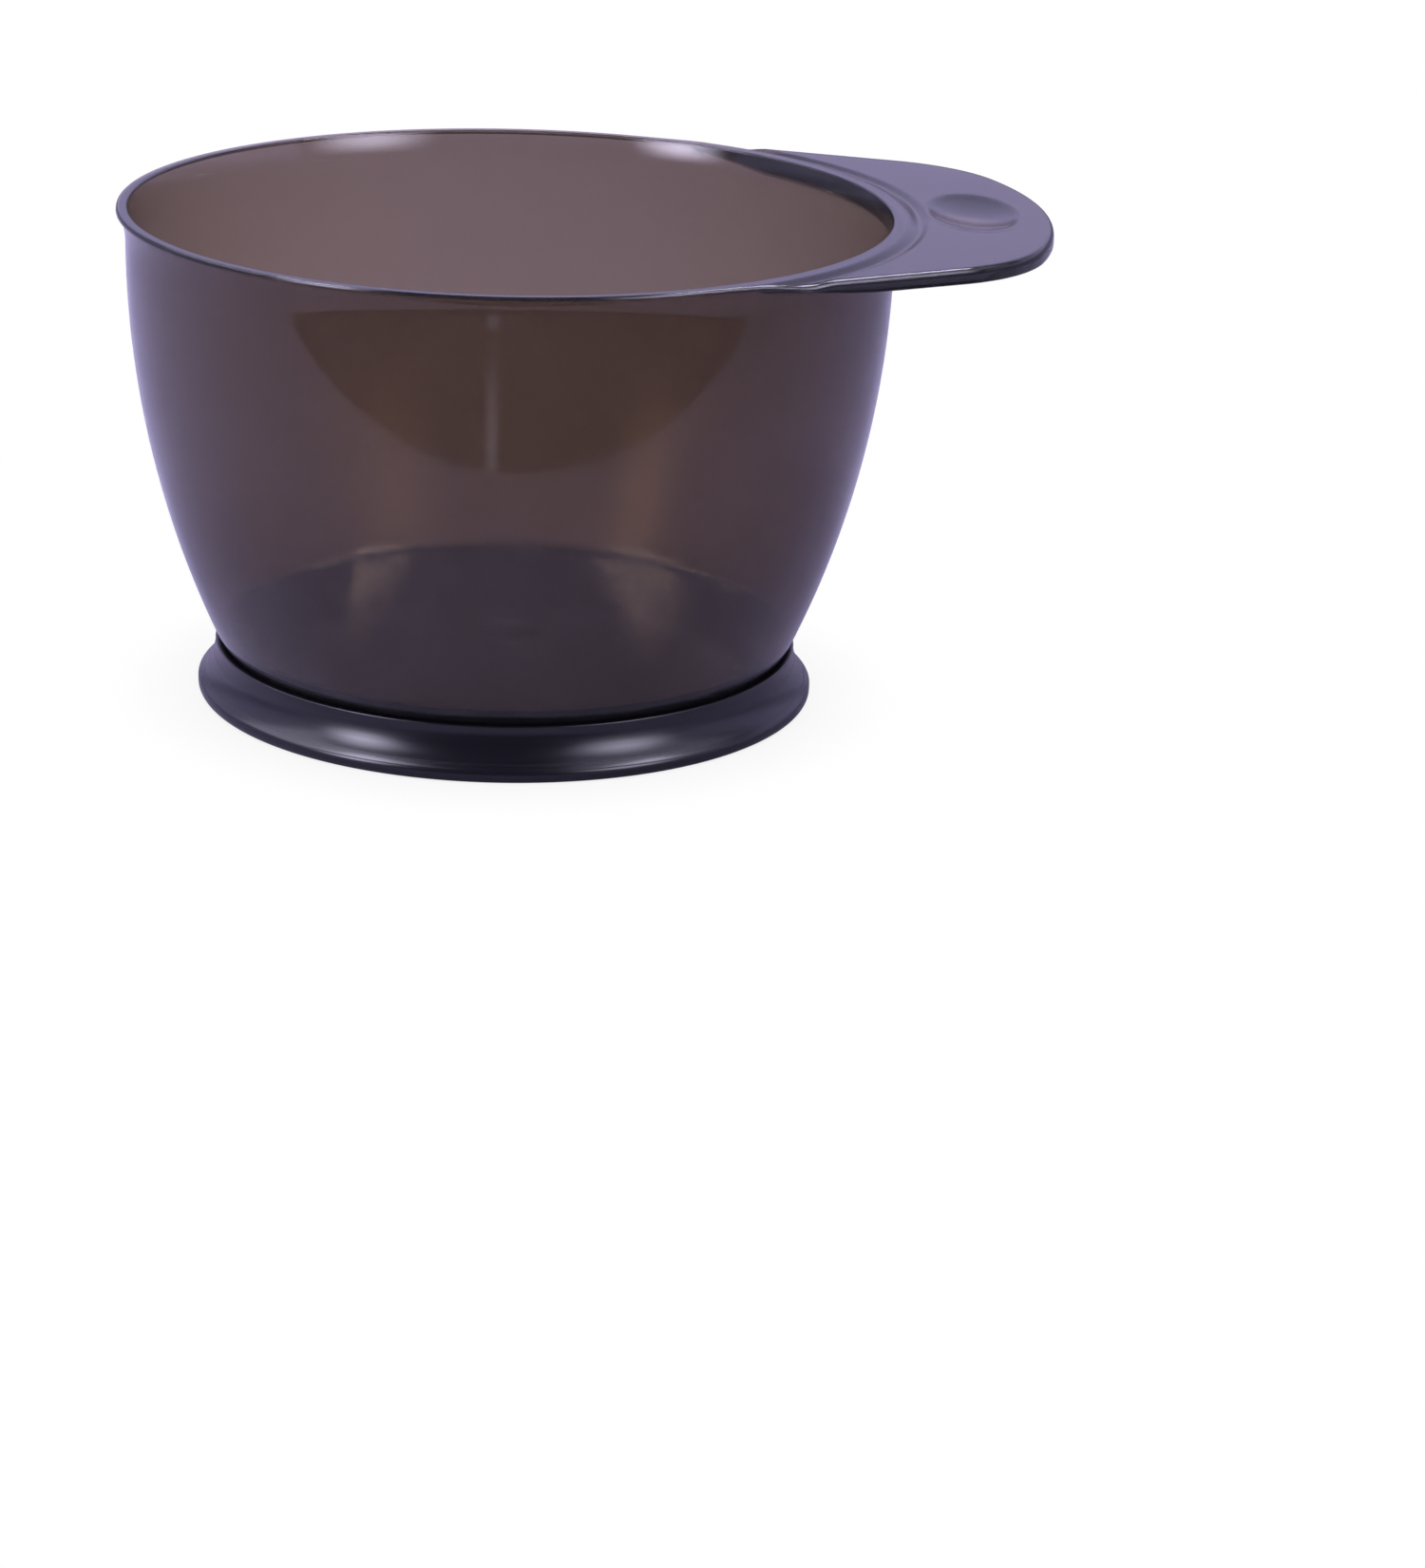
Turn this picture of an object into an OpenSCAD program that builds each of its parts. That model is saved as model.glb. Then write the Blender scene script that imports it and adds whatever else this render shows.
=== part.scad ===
// Hair color bowl: a smoky translucent moulding with a tab handle, standing on a black non-slip ring.
// Millimetres, +Z up. The origin is on the bowl's axis, on the surface that the ring rests on.
// The handle points along +X.

/* [Bowl] */
// Outer diameter over the rim bead
rim_d = 130; // [120:1:150]
// Height of the rim above the table
bowl_h = 83; // [75:1:95]
// Radius of the arc that the outer wall follows from rim to foot
wall_arc_r = 160; // [150:1:180]
// How far below the rim the wall stands upright, before it flares out to the mouth
flare_drop = 6; // [5:0.1:7]
// Thickness of the wall
wall_t = 1.4; // [1.2:0.1:1.8]
// Height of the inside floor above the table
floor_z = 10.5; // [10.2:0.1:12]
// Thickness of the floor
floor_t = 1.6; // [1.2:0.1:1.8]
// Radius between the floor and the inside wall
floor_fillet = 2.5; // [1.5:0.5:4]

/* [Rim] */
// How far the wall has turned outward where the flare ends
flare_angle = 20; // [15:1:22]
// How far the rim's bead stands out from the upright wall
bead_out = 1.5; // [1.3:0.1:1.7]
// Height of the bead's outer face
bead_h = 0.9; // [0.6:0.1:1]

/* [Handle] */
// Distance from the bowl's axis to the handle's tip
handle_reach = 89.8; // [84:0.1:96]
// Angle round the rim, from the handle's middle, where its straight sides leave the rim
side_angle = 68; // [66:1:70]
// Angle round the rim where the handle's full thickness starts, with a small notch under the bead
notch_angle = 57; // [50:1:60]
// Radius of the broad arc across the tip
tip_r = 74; // [66:1:82]
// Radius of the two corners
corner_r = 27; // [20:1:30]
// Thickness of the handle
handle_t = 2.6; // [2:0.1:3.5]
// How far the handle's top lies below the rim
handle_drop = 0.2; // [0.1:0.1:0.4]
// Width of the rim's land where it crosses the handle
land_w = 2; // [1.8:0.1:3]
// Depth of the shallow valley outside the land, below the rim
valley_depth = 0.6; // [0.4:0.1:0.8]

/* [Thumb dimple] */
// Distance from the bowl's axis to the dimple's middle
dimple_x = 77; // [75:0.5:79]
// Size along the handle
dimple_l = 15; // [10:1:16]
// Size across the handle
dimple_w = 28; // [20:1:34]
// Depth at its middle
dimple_depth = 1.3; // [0.6:0.1:1.5]

/* [Foot and ring] */
// Outer radius of the moulded foot inside the ring
foot_r = 46.4; // [46:0.1:46.8]
// Height of the foot's lower edge above the table
foot_z = 1.2; // [1:0.1:1.5]
// Height of the shoulder that the ring is pushed up to
shoulder_z = 8; // [7.6:0.1:8.2]
// How far the foot's snap bead stands out
snap_out = 0.8; // [0.5:0.1:1]
// Height of the ring's upper lip
ring_h = 8.8; // [8.4:0.1:9]
// Thickness of the ring's upper lip
lip_t = 1.0; // [0.8:0.1:1.4]
// Widest radius of the ring, near the table
ring_r = 52.2; // [51.5:0.1:54]
// Radius of the hollow curve between the lip and the widest part
cove_r = 9; // [8:0.5:14]
// Radius of the hole through the ring's underside
ring_hole_r = 42.5; // [41:0.5:43.5]
// Number of anti-slip grooves in the ring's underside
tread_count = 2; // [1:1:3]

/* [Hidden] */
$fn = 180;
eps = 0.01;

rim_r = rim_d / 2;
bead_z = bowl_h - bead_h;
flare_z = bowl_h - flare_drop;
arc_x = rim_r - bead_out - wall_arc_r;
edge_r = 0.4;
mouth_edge = 0.35;
valley_run = 2.2;
valley_rise = 1.4;
wall_steps = 24;
fillet_steps = 8;
flare_steps = 6;
floor_under = floor_z - floor_t;
snap_h = 1.0;
snap_z = foot_z + 0.5;
gate_r = 1.8;
gate_h = 0.3;
fit_gap = 0.05;
toe_r = 1.2;
toe_z = 2;
tread_d = 0.5;
tread_w = 1.2;
tread_pitch = 3;

// Radius of the wall's outer face at height z, or of its inner face with inset = wall_t
function wall_r(z, inset = 0) = arc_x + sqrt(pow(wall_arc_r - inset, 2) - pow(flare_z - z, 2));

// n + 1 points on an arc about c, from angle a to angle b
function arc(c, r, a, b, n) = [for (i = [0:n]) c + r * [cos(a + (b - a) * i / n), sin(a + (b - a) * i / n)]];

// The outline of the wall from z0 to z1
function wall_line(z0, z1, inset = 0) =
    [for (i = [0:wall_steps]) let (z = z0 + (z1 - z0) * i / wall_steps) [wall_r(z, inset), z]];

// The floor fillet's middle: floor_fillet above the floor and inside the inner face
fillet_z = floor_z + floor_fillet;
fillet_x = arc_x + sqrt(pow(wall_arc_r - wall_t - floor_fillet, 2) - pow(flare_z - fillet_z, 2));
fillet_slope = asin((flare_z - fillet_z) / (wall_arc_r - wall_t - floor_fillet));
fillet_end = floor_z + floor_fillet * (1 - sin(fillet_slope));

// The flare: both faces turn outward about one middle, from upright at flare_z to the mouth's rounded edge
flare_r = (flare_drop - mouth_edge) / sin(flare_angle);
flare_c = [wall_r(flare_z, wall_t) + flare_r, flare_z];
mouth_r = flare_c[0] - flare_r * cos(flare_angle);
mouth_z = bowl_h - mouth_edge;

// The space inside the bowl, from the floor to above the rim
module inside_space() {
    rotate_extrude()
        polygon(concat(
            [[0, floor_z]],
            arc([fillet_x, fillet_z], floor_fillet, -90, -fillet_slope, fillet_steps),
            wall_line(fillet_end + eps, flare_z - eps, wall_t),
            arc(flare_c, flare_r, 180, 180 - flare_angle, flare_steps),
            arc([mouth_r + mouth_edge, mouth_z], mouth_edge, 150, 90, 4),
            [[mouth_r + mouth_edge, bowl_h + 1], [0, bowl_h + 1]]));
}

// The moulding's outer form: bead, flare, wall, shoulder and foot
module outer_form() {
    rotate_extrude()
        polygon(concat(
            [[0, foot_z], [foot_r, foot_z], [foot_r, snap_z]],
            [[foot_r + snap_out, snap_z + snap_h / 2], [foot_r, snap_z + snap_h]],
            [[foot_r, shoulder_z]],
            wall_line(shoulder_z, flare_z - eps),
            arc(flare_c, flare_r - wall_t, 180, 180 - flare_angle, flare_steps),
            [[rim_r, bead_z], [rim_r, bowl_h - edge_r], [rim_r - edge_r, bowl_h], [0, bowl_h]]));
}

// The handle's sides touch the rim at side_angle; its corners touch both the sides and the tip's arc.
tip_x = handle_reach - tip_r;
side_n = [cos(side_angle), sin(side_angle)];
side_t = [sin(side_angle), -cos(side_angle)];
corner_off = rim_r - corner_r - tip_x * side_n[0];
corner_c = [tip_x, 0] + corner_off * side_n + sqrt(pow(tip_r - corner_r, 2) - pow(corner_off, 2)) * side_t;
corner_a = atan2(corner_c[1], corner_c[0] - tip_x);

function mirrored(points) = [for (i = [len(points) - 1:-1:0]) [points[i][0], -points[i][1]]];

// The handle seen from above, back to the bowl's axis. Its straight sides end at the angle start_a.
module handle_outline(start_a) {
    start = rim_r / cos(side_angle - start_a) * [cos(start_a), sin(start_a)];
    half = concat(
        arc([tip_x, 0], tip_r, 0, corner_a, 16),
        arc(corner_c, corner_r, corner_a, side_angle, 12),
        [start]);
    polygon(concat(half, [[0, 0]], mirrored(half)));
}

module handle_plate() {
    translate([0, 0, bowl_h - handle_drop - handle_t])
        linear_extrude(handle_drop + handle_t)
            handle_outline(notch_angle);
}

// The rim's land runs out along the handle's sides, no deeper than the bead.
module handle_shoulders() {
    translate([0, 0, bead_z])
        linear_extrude(bead_h)
            handle_outline(side_angle);
}

// What is cut off the handle's top: nothing on the land, then a shallow valley, then handle_drop
module above_handle() {
    land_r = mouth_r + mouth_edge + land_w;
    valley_r = land_r + valley_run;
    rotate_extrude()
        polygon([
            [land_r, bowl_h + 1], [land_r, bowl_h], [valley_r, bowl_h - valley_depth],
            [valley_r + valley_rise, bowl_h - handle_drop], [handle_reach + 1, bowl_h - handle_drop],
            [handle_reach + 1, bowl_h + 1]]);
}

// A wide barrel lying across the handle: only its lowest part reaches below the handle's top
module dimple_barrel() {
    belly_r = (pow(dimple_l / 2, 2) + pow(dimple_depth, 2)) / (2 * dimple_depth);
    stave_r = (pow(dimple_w / 2, 2) + pow(dimple_depth, 2)) / (2 * dimple_depth);
    half_a = asin((dimple_w / 2 + 2) / stave_r);
    translate([dimple_x, 0, bowl_h - handle_drop - dimple_depth + belly_r])
        rotate([90, 0, 0])
            rotate_extrude()
                polygon(concat(
                    [[0, -stave_r * sin(half_a)]],
                    arc([belly_r - stave_r, 0], stave_r, -half_a, half_a, 24),
                    [[0, stave_r * sin(half_a)]]));
}

module bowl() {
    color([0.33, 0.26, 0.29, 0.85]) {
        difference() {
            union() {
                outer_form();
                handle_plate();
                handle_shoulders();
            }
            inside_space();
            above_handle();
            dimple_barrel();
            translate([0, 0, -1])
                cylinder(r = foot_r - wall_t, h = floor_under + 1);
        }
        translate([0, 0, floor_under - gate_h])
            cylinder(r = gate_r, h = gate_h + eps);
    }
}

lip_r = wall_r(ring_h) + lip_t;
lip_z = ring_h - edge_r;
// The hollow curve's middle: it passes through the lip's foot and the toe's top
cove_top = [lip_r, lip_z - edge_r];
cove_low = [ring_r, toe_z];
cove_mid = (cove_top + cove_low) / 2;
cove_half = norm(cove_top - cove_low) / 2;
cove_dir = (cove_low - cove_top) / norm(cove_low - cove_top);
cove_c = cove_mid + sqrt(pow(cove_r, 2) - pow(cove_half, 2)) * [-cove_dir[1], cove_dir[0]];
cove_a = atan2(cove_top[1] - cove_c[1], cove_top[0] - cove_c[0]);
cove_b = atan2(cove_low[1] - cove_c[1], cove_low[0] - cove_c[0]);

module base_ring() {
    color([0.07, 0.07, 0.09])
        difference() {
            rotate_extrude()
                polygon(concat(
                    [[ring_hole_r, 0], [ring_r - toe_r, 0]],
                    arc([ring_r - toe_r, toe_r], toe_r, -60, 0, 6),
                    arc(cove_c, cove_r, cove_b, cove_a, 10),
                    [[lip_r - edge_r, ring_h], [wall_r(ring_h) + fit_gap, ring_h]],
                    [[wall_r(shoulder_z) + fit_gap, shoulder_z], [foot_r, shoulder_z]],
                    [[foot_r, snap_z + snap_h], [foot_r + snap_out, snap_z + snap_h / 2]],
                    [[foot_r, snap_z], [foot_r, foot_z]],
                    [[ring_hole_r, foot_z]]));
            for (i = [0:tread_count - 1])
                rotate_extrude()
                    translate([ring_hole_r + tread_pitch * (i + 0.5), 0])
                        polygon([[-tread_w / 2, -eps], [tread_w / 2, -eps], [0, tread_d]]);
        }
}

bowl();
base_ring();
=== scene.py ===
"""Hair color bowl: a smoky translucent moulding with a tab handle, standing in a black non-slip ring.

Metres, +Z up, the bowl's axis on the origin and the handle along +X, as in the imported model.
"""

import math

import bpy
import numpy as np
from mathutils import Matrix, Vector


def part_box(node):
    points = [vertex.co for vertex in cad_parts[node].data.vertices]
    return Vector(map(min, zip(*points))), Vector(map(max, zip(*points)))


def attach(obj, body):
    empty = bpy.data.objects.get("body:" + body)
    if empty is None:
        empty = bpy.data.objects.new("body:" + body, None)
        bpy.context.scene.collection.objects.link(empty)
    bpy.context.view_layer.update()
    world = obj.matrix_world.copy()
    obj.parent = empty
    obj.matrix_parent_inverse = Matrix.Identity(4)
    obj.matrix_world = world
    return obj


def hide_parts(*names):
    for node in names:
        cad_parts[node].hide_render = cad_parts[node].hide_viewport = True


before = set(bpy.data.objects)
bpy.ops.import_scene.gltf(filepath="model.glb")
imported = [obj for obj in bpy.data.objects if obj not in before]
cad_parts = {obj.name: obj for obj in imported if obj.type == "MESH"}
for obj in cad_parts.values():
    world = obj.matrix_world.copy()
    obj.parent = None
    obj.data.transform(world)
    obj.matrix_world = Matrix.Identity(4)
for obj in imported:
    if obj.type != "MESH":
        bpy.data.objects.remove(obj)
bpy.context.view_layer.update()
MM = 0.001

# ---------------------------------------------------------------------------
# Sizes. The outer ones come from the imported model; the rest repeat part.scad.
# ---------------------------------------------------------------------------
bowl_low, bowl_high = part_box("bowl")
_, ring_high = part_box("base_ring")

RIM_Z = bowl_high.z
RIM_R = -bowl_low.x
HANDLE_REACH = bowl_high.x
FOOT_Z = bowl_low.z
RING_R = ring_high.x
RING_H = ring_high.z

WALL_ARC_R = 160 * MM
WALL_T = 1.4 * MM
FLARE_DROP = 6 * MM
FLARE_ANGLE = math.radians(20)
BEAD_OUT = 1.5 * MM
BEAD_H = 0.9 * MM
BEAD_FILLET = 0.2 * MM
RIM_EDGE = 0.4 * MM
RIM_EDGE_H = 0.7 * MM
MOUTH_EDGE = 0.35 * MM
FLOOR_Z = 10.5 * MM
FLOOR_T = 1.6 * MM
FLOOR_FILLET = 2.5 * MM

SIDE_ANGLE = math.radians(68)
NOTCH_ANGLE = math.radians(57)
NOTCH_RUN = math.radians(0.9)
# The handle starts at the notch with this share of its thickness, and is full NOTCH_GROW further on
NOTCH_START = 0.3
NOTCH_GROW = math.radians(17)
TIP_R = 74 * MM
CORNER_R = 27 * MM
HANDLE_T = 2.6 * MM
HANDLE_DROP = 0.2 * MM
HANDLE_EDGE = 0.8 * MM
HANDLE_EDGE_H = 1.4 * MM
UNDER_EDGE = 0.3 * MM
RIM_UNDER_EDGE = 0.15 * MM
UNDER_FILLET = 1.2 * MM
# How far beyond the rim the outline runs before its edges are rounded as the handle's are
HANDLE_BLEND = 3 * MM
LAND_W = 2 * MM
VALLEY_DEPTH = 0.6 * MM
VALLEY_RUN = 2.2 * MM
VALLEY_RISE = 1.4 * MM

DIMPLE_X = 77 * MM
DIMPLE_L = 15 * MM
DIMPLE_W = 28 * MM
DIMPLE_DEPTH = 1.3 * MM
DIMPLE_SOFT = 0.25 * MM

FOOT_R = 46.4 * MM
FOOT_CHAMFER = 0.3 * MM
FOOT_CORNER = 1 * MM
SHOULDER_Z = 8 * MM
SNAP_Z = FOOT_Z + 0.5 * MM
SNAP_H = 1.0 * MM
SNAP_OUT = 0.8 * MM
GATE_R = 1.8 * MM
GATE_H = 0.3 * MM

LIP_T = 1.0 * MM
# The cove ends this far below the lip's top, and the lip's corner is rounded by this much
LIP_FACE = 0.8 * MM
LIP_ROUND = 0.2 * MM
COVE_R = 9 * MM
TOE_R = 1.2 * MM
TOE_Z = 2 * MM
RING_HOLE_R = 42.5 * MM
FIT_GAP = 0.05 * MM
TREAD_D = 0.5 * MM
TREAD_W = 1.2 * MM
TREAD_PITCH = 3 * MM
TREADS = 2

BEAD_Z = RIM_Z - BEAD_H
FLARE_Z = RIM_Z - FLARE_DROP
ARC_X = RIM_R - BEAD_OUT - WALL_ARC_R
FLARE_R = (FLARE_DROP - MOUTH_EDGE) / math.sin(FLARE_ANGLE)
FLARE_X = RIM_R - BEAD_OUT - WALL_T + FLARE_R
MOUTH_R = FLARE_X - FLARE_R * math.cos(FLARE_ANGLE)


def wall_r(z, inset=0.0):
    """Radius of the wall's outer face at height z, or of its inner face with inset = WALL_T."""
    if z > FLARE_Z:
        return FLARE_X - math.sqrt((FLARE_R - WALL_T + inset) ** 2 - (z - FLARE_Z) ** 2)
    return ARC_X + math.sqrt((WALL_ARC_R - inset) ** 2 - (FLARE_Z - z) ** 2)


def smoothstep(t):
    t = np.clip(t, 0.0, 1.0)
    return t * t * (3 - 2 * t)


def arc_points(centre_r, centre_z, radius, start, end, count):
    """count + 1 points (r, z) on an arc; start and end in degrees."""
    angles = np.radians(np.linspace(start, end, count + 1))
    return [(centre_r + radius * math.cos(a), centre_z + radius * math.sin(a)) for a in angles]


# ---------------------------------------------------------------------------
# Meshes
# ---------------------------------------------------------------------------
def new_object(name, points, faces):
    mesh = bpy.data.meshes.new(name)
    mesh.from_pydata(points, [], faces)
    mesh.validate()
    mesh.shade_smooth()
    piece = bpy.data.objects.new(name, mesh)
    bpy.context.scene.collection.objects.link(piece)
    return piece


def ring_faces(columns, rows, closed):
    """Quads of a grid stored row by row, closed round each row and, if closed, from last row to first."""
    faces = []
    for i in range(rows if closed else rows - 1):
        below = i * columns
        above = ((i + 1) % rows) * columns
        for j in range(columns):
            k = (j + 1) % columns
            faces.append((below + j, below + k, above + k, above + j))
    return faces


def handle_edge_r(phi):
    """Distance from the axis to the moulding's outline, at the angle phi from the handle's middle."""
    a = abs(phi)
    if a >= SIDE_ANGLE:
        return RIM_R
    tip_x = HANDLE_REACH - TIP_R
    normal = Vector((math.cos(SIDE_ANGLE), math.sin(SIDE_ANGLE)))
    along = Vector((math.sin(SIDE_ANGLE), -math.cos(SIDE_ANGLE)))
    off = RIM_R - CORNER_R - tip_x * normal.x
    corner = Vector((tip_x, 0)) + off * normal + math.sqrt((TIP_R - CORNER_R) ** 2 - off**2) * along
    side_end = corner + CORNER_R * normal
    tip_end = Vector((tip_x, 0)) + (corner - Vector((tip_x, 0))).normalized() * TIP_R
    ray = Vector((math.cos(a), math.sin(a)))
    if a > math.atan2(side_end.y, side_end.x):
        return RIM_R / math.cos(SIDE_ANGLE - a)
    if a > math.atan2(tip_end.y, tip_end.x):
        middle, radius = corner, CORNER_R
    else:
        middle, radius = Vector((tip_x, 0)), TIP_R
    near = middle.dot(ray)
    return near + math.sqrt(near**2 - middle.length_squared + radius**2)


def dimple_depth(x, y):
    """Depth of the thumb dimple: a wide barrel pressed into the handle's top, with a softened edge."""
    belly = ((DIMPLE_L / 2) ** 2 + DIMPLE_DEPTH**2) / (2 * DIMPLE_DEPTH)
    stave = ((DIMPLE_W / 2) ** 2 + DIMPLE_DEPTH**2) / (2 * DIMPLE_DEPTH)
    r = belly - stave + np.sqrt(np.maximum(stave**2 - y**2, 0))
    depth = np.sqrt(np.maximum(r**2 - (x - DIMPLE_X) ** 2, 0)) - (belly - DIMPLE_DEPTH)
    softened = depth + np.sqrt(depth**2 + DIMPLE_SOFT**2)
    return 0.5 * softened - 0.5 * DIMPLE_SOFT * np.exp(-((depth / DIMPLE_SOFT) ** 2))


def valley_depth(beyond_land):
    """How far the handle's top lies below the rim: level on the land, a shallow valley, then the plate."""
    down = VALLEY_DEPTH * smoothstep(beyond_land / VALLEY_RUN)
    return float(down - (VALLEY_DEPTH - HANDLE_DROP) * smoothstep((beyond_land - VALLEY_RUN) / VALLEY_RISE))


def inner_section():
    """(r, z) of the inside, from just off the floor's middle to the foot of the mouth's rounded edge."""
    fillet_z = FLOOR_Z + FLOOR_FILLET
    inner_r = WALL_ARC_R - WALL_T - FLOOR_FILLET
    fillet_r = ARC_X + math.sqrt(inner_r**2 - (FLARE_Z - fillet_z) ** 2)
    slope = math.degrees(math.asin((FLARE_Z - fillet_z) / inner_r))
    points = [(fillet_r * t, FLOOR_Z) for t in (0.04, 0.2, 0.4, 0.6, 0.8, 0.92)]
    points += arc_points(fillet_r, fillet_z, FLOOR_FILLET, -90, -slope, 10)
    points += [(wall_r(z, WALL_T), z) for z in np.linspace(points[-1][1], FLARE_Z, 28)[1:]]
    turn = math.degrees(FLARE_ANGLE)
    return points + arc_points(FLARE_X, FLARE_Z, FLARE_R, 180, 180 - turn, 10)[1:]


def rim_section(phi):
    """(r, z) over the rim or the handle, from the mouth's rounded edge round to the outer wall."""
    edge = handle_edge_r(phi)
    full = 1 - smoothstep((abs(phi) - NOTCH_ANGLE) / NOTCH_RUN + 0.5)
    full *= NOTCH_START + (1 - NOTCH_START) * smoothstep((NOTCH_ANGLE - abs(phi)) / NOTCH_GROW)
    out = smoothstep((edge - RIM_R) / HANDLE_BLEND)
    edge_round = RIM_EDGE + (HANDLE_EDGE - RIM_EDGE) * out
    edge_high = RIM_EDGE_H + (HANDLE_EDGE_H - RIM_EDGE_H) * out * full
    under_round = RIM_UNDER_EDGE + (UNDER_EDGE - RIM_UNDER_EDGE) * out
    bottom = BEAD_Z + (RIM_Z - HANDLE_DROP - HANDLE_T - BEAD_Z) * full
    fillet = BEAD_FILLET + (UNDER_FILLET - BEAD_FILLET) * full
    land_start = MOUTH_R + MOUTH_EDGE
    points = arc_points(land_start, RIM_Z - MOUTH_EDGE, MOUTH_EDGE, 150, 90, 4)
    land_end = edge - edge_round
    x_dir, y_dir = math.cos(phi), math.sin(phi)
    top_rows = 44
    for i in range(1, top_rows + 1):
        r = land_start + (land_end - land_start) * i / top_rows
        z = RIM_Z - valley_depth(r - land_start - LAND_W) - float(dimple_depth(r * x_dir, r * y_dir))
        points.append((r, float(z)))
    top = points[-1][1]
    for a in np.radians(np.linspace(80, 0, 11)):
        points.append((land_end + edge_round * math.cos(a), top - edge_high * (1 - math.sin(a))))
    low = bottom + under_round
    side_top = top - edge_high
    points += [(edge, side_top + (low - side_top) * t) for t in (0.33, 0.66)]
    points += arc_points(edge - under_round, low, under_round, 0, -90, 4)
    wall = wall_r(bottom - fillet)
    under_start, under_end = edge - under_round, wall + fillet
    for i in range(1, 17):
        points.append((under_start + (under_end - under_start) * i / 16, bottom))
    points += arc_points(wall + fillet, bottom - fillet, fillet, 100, 180, 6)
    return points, bottom - fillet


def outer_section(start):
    """(r, z) from under the rim down the outer wall, round the foot and back to the floor's underside."""
    turn = min(start, FLARE_Z) - 0.2 * MM
    points = [(wall_r(z), z) for z in np.linspace(start, turn, 9)[1:]]
    points += [(wall_r(z), z) for z in np.linspace(turn, SHOULDER_Z, 30)[1:]]
    points += [(FOOT_R + FOOT_CHAMFER, SHOULDER_Z), (FOOT_R, SHOULDER_Z - FOOT_CHAMFER)]
    points += [(FOOT_R, SNAP_Z + SNAP_H), (FOOT_R + SNAP_OUT, SNAP_Z + SNAP_H / 2), (FOOT_R, SNAP_Z)]
    points += [(FOOT_R, FOOT_Z + FOOT_CHAMFER), (FOOT_R - FOOT_CHAMFER, FOOT_Z)]
    inner = FOOT_R - WALL_T
    under = FLOOR_Z - FLOOR_T
    points += [(inner + FOOT_CHAMFER, FOOT_Z), (inner, FOOT_Z + FOOT_CHAMFER)]
    points += [(inner, under - 1.2 * FOOT_CORNER)]
    points += arc_points(inner - FOOT_CORNER, under - FOOT_CORNER, FOOT_CORNER, 15, 90, 5)
    points += [(inner * t, under) for t in (0.7, 0.4, 0.15)]
    points += [(GATE_R, under), (GATE_R * 0.85, under - GATE_H), (GATE_R * 0.4, under - GATE_H)]
    return points


def column_angles():
    """Angles round the axis: close together over the handle, wider on the plain side."""
    reach = math.radians(71)
    fine = np.linspace(-reach, reach, 241)
    plain = np.linspace(reach, 2 * math.pi - reach, 112)[1:-1]
    return np.concatenate([fine, plain])


def build_bowl():
    inner = inner_section()
    angles = column_angles()
    columns = []
    for phi in angles:
        centred = (phi + math.pi) % (2 * math.pi) - math.pi
        rim, start = rim_section(centred)
        columns.append(inner + rim + outer_section(start))
    grid = np.array(columns)
    rows = grid.shape[1]
    points = []
    for i in range(rows):
        for j, phi in enumerate(angles):
            r, z = grid[j, i]
            points.append((r * math.cos(phi), r * math.sin(phi), z))
    count = len(angles)
    faces = ring_faces(count, rows, closed=False)
    floor_middle, under_middle = len(points), len(points) + 1
    points += [(0, 0, FLOOR_Z), (0, 0, FLOOR_Z - FLOOR_T - GATE_H)]
    last = (rows - 1) * count
    for j in range(count):
        k = (j + 1) % count
        faces.append((floor_middle, k, j))
        faces.append((under_middle, last + j, last + k))
    faces = [tuple(reversed(f)) for f in faces]
    return new_object("bowl_moulding", points, faces)


def ring_section():
    """(r, z) of the rubber ring, once round its closed outline."""
    lip_r = wall_r(RING_H) + LIP_T
    top = Vector((lip_r, RING_H - LIP_FACE))
    low = Vector((RING_R, TOE_Z))
    along = (low - top).normalized()
    half = (low - top).length / 2
    centre = (top + low) / 2 + math.sqrt(COVE_R**2 - half**2) * Vector((-along.y, along.x))
    from_low = math.degrees(math.atan2(low.y - centre.y, low.x - centre.x))
    from_top = math.degrees(math.atan2(top.y - centre.y, top.x - centre.x))
    points = arc_points(RING_R - TOE_R, TOE_R, TOE_R, -80, 0, 10)
    points += arc_points(centre.x, centre.y, COVE_R, from_low, from_top, 16)
    points += arc_points(lip_r - LIP_ROUND, RING_H - LIP_ROUND, LIP_ROUND, 0, 90, 6)
    points += [(wall_r(RING_H) + FIT_GAP, RING_H)]
    points += [(wall_r(SHOULDER_Z) + FIT_GAP, SHOULDER_Z), (FOOT_R, SHOULDER_Z)]
    points += [(FOOT_R, SNAP_Z + SNAP_H), (FOOT_R + SNAP_OUT, SNAP_Z + SNAP_H / 2), (FOOT_R, SNAP_Z)]
    points += [(FOOT_R, FOOT_Z), (RING_HOLE_R + 0.4 * MM, FOOT_Z), (RING_HOLE_R, FOOT_Z - 0.4 * MM)]
    points += [(RING_HOLE_R, 0.2 * MM), (RING_HOLE_R + 0.2 * MM, 0)]
    for i in range(TREADS):
        middle = RING_HOLE_R + TREAD_PITCH * (i + 0.5)
        points += [(middle - TREAD_W / 2, 0), (middle, TREAD_D), (middle + TREAD_W / 2, 0)]
    return points


def build_ring():
    section = ring_section()
    count = 240
    points = []
    for r, z in section:
        for j in range(count):
            a = 2 * math.pi * j / count
            points.append((r * math.cos(a), r * math.sin(a), z))
    return new_object("rubber_ring", points, ring_faces(count, len(section), closed=True))


# ---------------------------------------------------------------------------
# Materials
# ---------------------------------------------------------------------------
def new_material(name):
    material = bpy.data.materials.new(name)
    material.use_nodes = True
    material.node_tree.nodes.clear()
    return material, material.node_tree.nodes, material.node_tree.links


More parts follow.
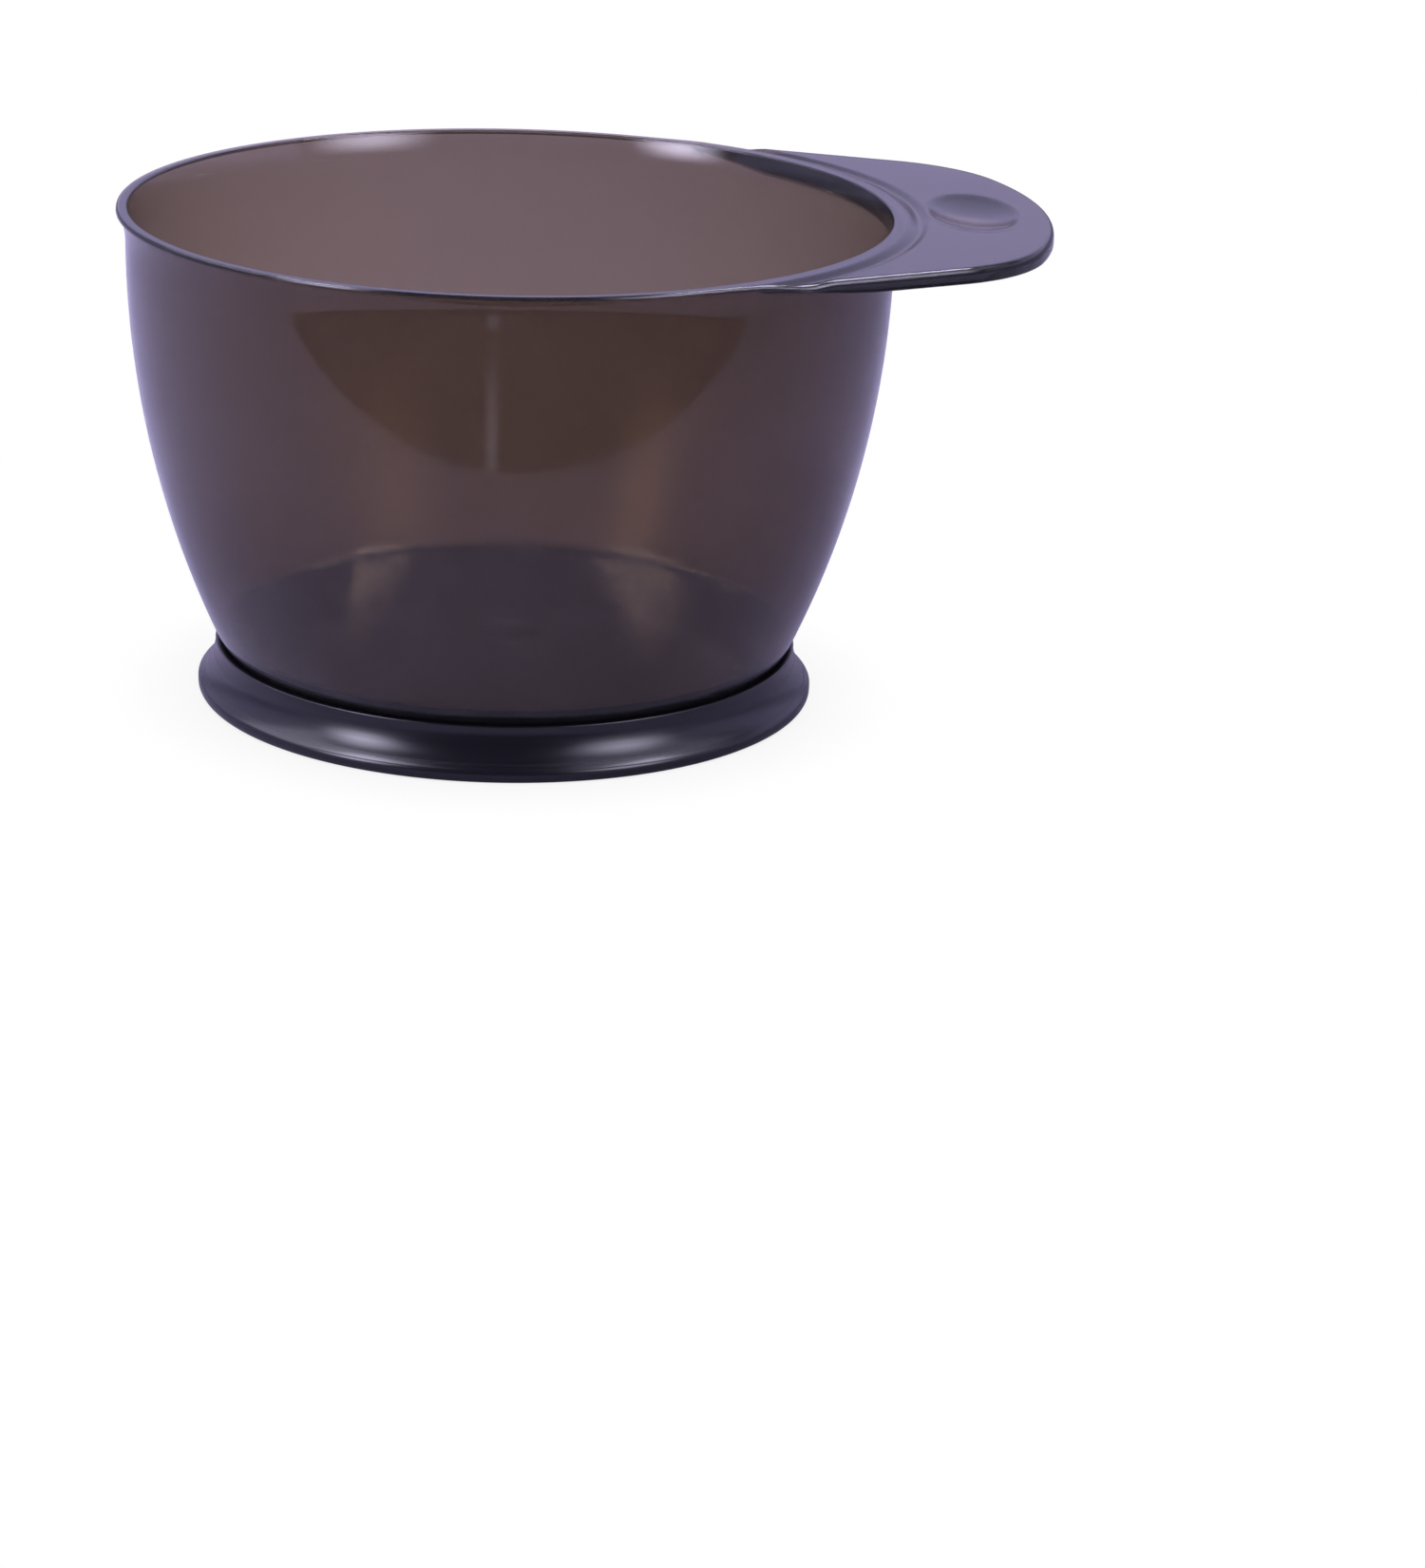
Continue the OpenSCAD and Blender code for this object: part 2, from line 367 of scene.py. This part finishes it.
def noise(nodes, links, vector, scale, detail):
    """A noise value over the vector; scale is in features per metre."""
    texture = nodes.new("ShaderNodeTexNoise")
    texture.inputs["Scale"].default_value = scale
    texture.inputs["Detail"].default_value = detail
    links.new(vector, texture.inputs["Vector"])
    return texture.outputs["Fac"]


def spread(nodes, links, value, from_low, from_high, to_low, to_high):
    """The value's range from_low…from_high stretched to to_low…to_high."""
    ramp = nodes.new("ShaderNodeMapRange")
    ramp.inputs["From Min"].default_value = from_low
    ramp.inputs["From Max"].default_value = from_high
    ramp.inputs["To Min"].default_value = to_low
    ramp.inputs["To Max"].default_value = to_high
    links.new(value, ramp.inputs["Value"])
    return ramp.outputs["Result"]


def bump(nodes, links, height, strength, distance):
    """A normal tilted by the height value, which stands for distance metres at full strength."""
    relief = nodes.new("ShaderNodeBump")
    relief.inputs["Strength"].default_value = strength
    relief.inputs["Distance"].default_value = distance
    links.new(height, relief.inputs["Height"])
    return relief.outputs["Normal"]


def smoky_plastic():
    """Tinted polypropylene: darker where the light goes further in it, and faintly uneven in polish."""
    material, nodes, links = new_material("smoky_plastic")
    out = nodes.new("ShaderNodeOutputMaterial")
    surface = nodes.new("ShaderNodeBsdfPrincipled")
    place = nodes.new("ShaderNodeTexCoord")
    polish = noise(nodes, links, place.outputs["Object"], scale=55, detail=4)
    gloss = spread(nodes, links, polish, 0.35, 0.65, 0.045, 0.10)
    links.new(gloss, surface.inputs["Roughness"])
    flow = noise(nodes, links, place.outputs["Object"], scale=110, detail=1)
    links.new(bump(nodes, links, flow, 0.25, 0.015 * MM), surface.inputs["Normal"])
    surface.inputs["Base Color"].default_value = (1, 1, 1, 1)
    surface.inputs["IOR"].default_value = 1.49
    surface.inputs["Transmission Weight"].default_value = 0.986
    volume = nodes.new("ShaderNodeVolumeAbsorption")
    volume.inputs["Color"].default_value = (0.43, 0.30, 0.086, 1)
    volume.inputs["Density"].default_value = 1400
    links.new(surface.outputs["BSDF"], out.inputs["Surface"])
    links.new(volume.outputs["Volume"], out.inputs["Volume"])
    return material


def black_rubber():
    """Shiny black rubber with faint moulding streaks round the ring and a fine grain."""
    material, nodes, links = new_material("black_rubber")
    out = nodes.new("ShaderNodeOutputMaterial")
    surface = nodes.new("ShaderNodeBsdfPrincipled")
    place = nodes.new("ShaderNodeTexCoord")
    axes = nodes.new("ShaderNodeSeparateXYZ")
    flat = nodes.new("ShaderNodeCombineXYZ")
    radius = nodes.new("ShaderNodeVectorMath")
    radius.operation = "LENGTH"
    section = nodes.new("ShaderNodeCombineXYZ")
    links.new(place.outputs["Object"], axes.inputs["Vector"])
    links.new(axes.outputs["X"], flat.inputs["X"])
    links.new(axes.outputs["Y"], flat.inputs["Y"])
    links.new(flat.outputs["Vector"], radius.inputs[0])
    links.new(radius.outputs["Value"], section.inputs["X"])
    links.new(axes.outputs["Z"], section.inputs["Y"])
    streaks = noise(nodes, links, section.outputs["Vector"], scale=900, detail=3)
    links.new(spread(nodes, links, streaks, 0.3, 0.7, 0.17, 0.30), surface.inputs["Roughness"])
    grain = noise(nodes, links, place.outputs["Object"], scale=1500, detail=2)
    links.new(bump(nodes, links, grain, 0.2, 0.02 * MM), surface.inputs["Normal"])
    surface.inputs["Base Color"].default_value = (0.008, 0.008, 0.011, 1)
    surface.inputs["IOR"].default_value = 1.5
    links.new(surface.outputs["BSDF"], out.inputs["Surface"])
    return material


# ---------------------------------------------------------------------------
# The object
# ---------------------------------------------------------------------------
bowl = build_bowl()
bowl.data.materials.append(smoky_plastic())
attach(bowl, "root")
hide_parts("bowl")

ring = build_ring()
ring.data.materials.append(black_rubber())
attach(ring, "root")
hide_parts("base_ring")

# ---------------------------------------------------------------------------
# Camera
# ---------------------------------------------------------------------------
CAMERA_DISTANCE = 745.1 * MM
CAMERA_ELEVATION = math.radians(12.24)
CAMERA_TURN = math.radians(-3.0)
CAMERA_ROLL = math.radians(-1.05)
LENS_MM = 102.55
# How far left of the frame's middle and above it the rim's middle stands, as tangents of angles
AIM_OFFSET = Vector((-0.0449, 0.1294, -1.0))

rim_middle = Vector((0, 0, RIM_Z))
level = Matrix.Rotation(CAMERA_TURN, 3, "Z") @ Vector((0, -math.cos(CAMERA_ELEVATION), 0))
back = Vector((level.x, level.y, math.sin(CAMERA_ELEVATION)))
camera_data = bpy.data.cameras.new("camera")
camera_data.lens = LENS_MM
camera_data.sensor_width = 36
camera_data.clip_start = 0.01
camera_data.clip_end = 20
camera = bpy.data.objects.new("camera", camera_data)
bpy.context.scene.collection.objects.link(camera)
camera.location = rim_middle + back * CAMERA_DISTANCE
camera.rotation_mode = "QUATERNION"
look = (-back).to_track_quat("-Z", "Y")
roll = Matrix.Rotation(-CAMERA_ROLL, 3, "Z").to_quaternion()
aim = Vector((0, 0, -1)).rotation_difference(AIM_OFFSET.normalized())
camera.rotation_quaternion = look @ roll @ aim.inverted()
bpy.context.scene.camera = camera


# ---------------------------------------------------------------------------
# Studio
# ---------------------------------------------------------------------------
def only_seen_by(piece, camera_rays):
    """Shows a stage piece only to the camera, or only to what the object reflects and lets through."""
    piece.visible_camera = camera_rays
    for kind in ("diffuse", "glossy", "transmission", "volume_scatter", "shadow"):
        setattr(piece, "visible_" + kind, not camera_rays)


def plane(name, x0, x1, y0, y1, z):
    points = [(x0, y0, z), (x1, y0, z), (x1, y1, z), (x0, y1, z)]
    mesh = bpy.data.meshes.new(name)
    mesh.from_pydata(points, [], [(0, 1, 2, 3)])
    piece = bpy.data.objects.new(name, mesh)
    bpy.context.scene.collection.objects.link(piece)
    return piece


def white_sweep():
    """The pale floor as the camera sees it: even white, with a faint shade where the object stands."""
    material, nodes, links = new_material("white_sweep")
    out = nodes.new("ShaderNodeOutputMaterial")
    glow = nodes.new("ShaderNodeEmission")
    near = nodes.new("ShaderNodeAmbientOcclusion")
    near.samples = 16
    near.inputs["Distance"].default_value = 0.02
    ramp = nodes.new("ShaderNodeMapRange")
    ramp.inputs["To Min"].default_value = 0.85
    links.new(near.outputs["AO"], ramp.inputs["Value"])
    links.new(ramp.outputs["Result"], glow.inputs["Strength"])
    links.new(glow.outputs["Emission"], out.inputs["Surface"])
    return material


def table_top():
    """The lavender table the object reflects, with painted shade: its colour is darker towards its front
    edge and to the right.
    """
    material, nodes, links = new_material("table_top")
    out = nodes.new("ShaderNodeOutputMaterial")
    paper = nodes.new("ShaderNodeBsdfDiffuse")
    place = nodes.new("ShaderNodeTexCoord")
    axes = nodes.new("ShaderNodeSeparateXYZ")
    links.new(place.outputs["Object"], axes.inputs["Vector"])
    # Painted shade: the table's colour is scaled down towards its front edge and to the right
    shade = nodes.new("ShaderNodeMath")
    shade.operation = "MULTIPLY"
    links.new(spread(nodes, links, axes.outputs["Y"], -0.15, 0.0, 0.66, 1.0), shade.inputs[0])
    links.new(spread(nodes, links, axes.outputs["X"], -0.05, 0.25, 1.0, 0.7), shade.inputs[1])
    colour = nodes.new("ShaderNodeVectorMath")
    colour.operation = "SCALE"
    colour.inputs[0].default_value = (0.40, 0.38, 0.47)
    links.new(shade.outputs["Value"], colour.inputs["Scale"])
    links.new(colour.outputs["Vector"], paper.inputs["Color"])
    links.new(paper.outputs["BSDF"], out.inputs["Surface"])
    return material


sweep = plane("white_floor", -4, 4, -4, 4, -0.05 * MM)
sweep.data.materials.append(white_sweep())
only_seen_by(sweep, True)

# The table's front edge, y -0.150, is what the half-moon on the bowl's front mirrors
table = plane("table", -2, 2, -0.150, 2.5, -0.1 * MM)
table.data.materials.append(table_top())
only_seen_by(table, False)


GLOW_COLOUR = (0.80, 0.76, 1.0, 1)


def softbox(name, centre, azimuth, elevation, length, width, radiance, soft=0.3):
    """A glowing panel, dimmer over the share soft of it at each edge. Azimuth 0 is the camera's side."""
    material, nodes, links = new_material(name + "_glow")
    out = nodes.new("ShaderNodeOutputMaterial")
    glow = nodes.new("ShaderNodeEmission")
    glow.inputs["Color"].default_value = GLOW_COLOUR
    place = nodes.new("ShaderNodeTexCoord")
    axes = nodes.new("ShaderNodeSeparateXYZ")
    links.new(place.outputs["Object"], axes.inputs["Vector"])
    falls = []
    for axis, half in (("X", length / 2), ("Y", width / 2)):
        off = nodes.new("ShaderNodeMath")
        off.operation = "ABSOLUTE"
        fall = nodes.new("ShaderNodeMapRange")
        fall.interpolation_type = "SMOOTHSTEP"
        fall.inputs["From Min"].default_value = half
        fall.inputs["From Max"].default_value = half * (1 - soft)
        links.new(axes.outputs[axis], off.inputs[0])
        links.new(off.outputs["Value"], fall.inputs["Value"])
        falls.append(fall)
    both = nodes.new("ShaderNodeMath")
    both.operation = "MULTIPLY"
    power = nodes.new("ShaderNodeMath")
    power.operation = "MULTIPLY"
    power.inputs[1].default_value = radiance
    links.new(falls[0].outputs["Result"], both.inputs[0])
    links.new(falls[1].outputs["Result"], both.inputs[1])
    links.new(both.outputs["Value"], power.inputs[0])
    links.new(power.outputs["Value"], glow.inputs["Strength"])
    links.new(glow.outputs["Emission"], out.inputs["Surface"])
    panel = plane(name, -length / 2, length / 2, -width / 2, width / 2, 0)
    panel.data.materials.append(material)
    only_seen_by(panel, False)
    a, e = math.radians(azimuth), math.radians(elevation)
    facing = Vector((math.sin(a) * math.cos(e), -math.cos(a) * math.cos(e), math.sin(e)))
    panel.location = centre
    panel.rotation_mode = "QUATERNION"
    panel.rotation_quaternion = (-facing).to_track_quat("-Z", "Y")
    return panel


# Broad panels, strips overhead for the edges, round glows for the rim and the ring, and a low streak
softbox("softbox_right", (0.856, -0.903, 0.94), 104.5, 40, 2.4, 1.2, 1.4)
softbox("softbox_left", (-1.281, -0.240, 1.017), -120, 40, 2.8, 1.0, 3.0)
softbox("strip_right", (0.57, 0.0, 0.95), 90, 60, 0.75, 0.45, 20, 0.7)
softbox("strip_left", (-0.57, 0.0, 0.95), -90, 60, 0.75, 0.45, 20, 0.7)
softbox("glow_right", (0.80, -0.80, 0.56), 45, 22, 1.05, 0.90, 10, 1.0)
softbox("glow_left", (-0.98, -0.57, 0.56), -60, 22, 0.80, 0.90, 16, 1.0)
softbox("low_strip", (-0.14, -1.0, -0.42), -8, -25, 0.11, 0.6, 1.2, 1.0)

TENT_COLOUR = (0.55, 0.50, 0.85)
TENT_SPAN = 0.4
# How bright the tent is against the upward part of the direction: dark past the table, dim at the horizon
TENT_STOPS = ((-0.240, 0.08), (-0.228, 1.0), (-0.10, 1.0), (-0.02, 0.45), (0.10, 0.45), (0.20, 1.1))


# The middle of the tent's dark roof, and the cosines of the angles where the dark starts and is full
ROOF_MIDDLE = (0, -0.643, 0.766)
ROOF_EDGE, ROOF_FULL = 0.485, 0.60
ROOF_LIGHT = 0.04


def studio_world():
    """Soft lavender light from all round, dark overhead towards the camera and low down past the table."""
    world = bpy.data.worlds.new("studio")
    bpy.context.scene.world = world
    world.use_nodes = True
    nodes, links = world.node_tree.nodes, world.node_tree.links
    nodes.clear()
    out = nodes.new("ShaderNodeOutputWorld")
    path = nodes.new("ShaderNodeLightPath")
    white = nodes.new("ShaderNodeBackground")
    white.inputs["Color"].default_value = (1, 1, 1, 1)
    tent = nodes.new("ShaderNodeBackground")
    place = nodes.new("ShaderNodeTexCoord")
    axes = nodes.new("ShaderNodeSeparateXYZ")
    height = nodes.new("ShaderNodeMapRange")
    height.inputs["From Min"].default_value = -TENT_SPAN
    height.inputs["From Max"].default_value = TENT_SPAN
    tint = nodes.new("ShaderNodeValToRGB")
    stops = tint.color_ramp.elements
    while len(stops) < len(TENT_STOPS):
        stops.new(0.5)
    for stop, (up, light) in zip(stops, TENT_STOPS):
        stop.position = (up / TENT_SPAN + 1) / 2
        stop.color = [light * c for c in TENT_COLOUR] + [1]
    lean = nodes.new("ShaderNodeVectorMath")
    lean.operation = "DOT_PRODUCT"
    lean.inputs[1].default_value = ROOF_MIDDLE
    roof = nodes.new("ShaderNodeMapRange")
    roof.inputs["From Min"].default_value = ROOF_EDGE
    roof.inputs["From Max"].default_value = ROOF_FULL
    roof.inputs["To Min"].default_value = 1.0
    roof.inputs["To Max"].default_value = ROOF_LIGHT
    links.new(place.outputs["Generated"], axes.inputs["Vector"])
    links.new(place.outputs["Generated"], lean.inputs[0])
    links.new(lean.outputs["Value"], roof.inputs["Value"])
    links.new(axes.outputs["Z"], height.inputs["Value"])
    links.new(height.outputs["Result"], tint.inputs["Fac"])
    links.new(tint.outputs["Color"], tent.inputs["Color"])
    links.new(roof.outputs["Result"], tent.inputs["Strength"])
    pick = nodes.new("ShaderNodeMixShader")
    links.new(path.outputs["Is Camera Ray"], pick.inputs["Fac"])
    links.new(tent.outputs["Background"], pick.inputs[1])
    links.new(white.outputs["Background"], pick.inputs[2])
    links.new(pick.outputs["Shader"], out.inputs["Surface"])


studio_world()
scene = bpy.context.scene
scene.view_settings.view_transform = "Standard"
scene.cycles.max_bounces = 24
scene.cycles.transmission_bounces = 24
scene.cycles.glossy_bounces = 8
